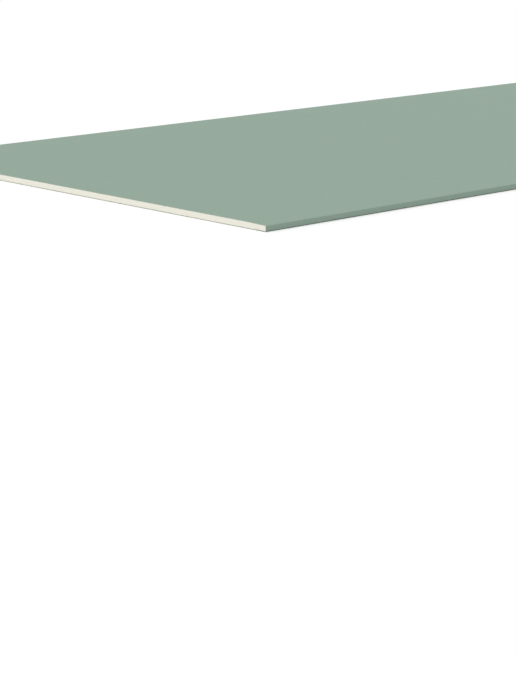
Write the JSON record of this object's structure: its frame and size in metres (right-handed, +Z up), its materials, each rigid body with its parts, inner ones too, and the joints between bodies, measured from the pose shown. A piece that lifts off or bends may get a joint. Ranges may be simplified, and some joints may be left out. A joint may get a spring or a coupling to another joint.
{
  "type": "drywall sheet",
  "caption": "Flat rectangular drywall sheet: a gypsum core wrapped in green face paper with tapered long edges and closed by a back paper, for lining walls and ceilings.",
  "frame": {"origin": "middle of the sheet's underside, on the surface that it lies on", "axes": "+X across the width towards a tapered long edge, +Y along the length towards a cut end, +Z up through the face"},
  "size_m": [1.2, 2.5, 0.0125],
  "materials": {
    "gypsum": "matte",
    "green_paper": "matte",
    "back_paper": "matte"
  },
  "bodies": {
    "root": {"gypsum_core": "gypsum", "face_paper": "green_paper", "back_paper": "back_paper"}
  },
  "joints": []
}
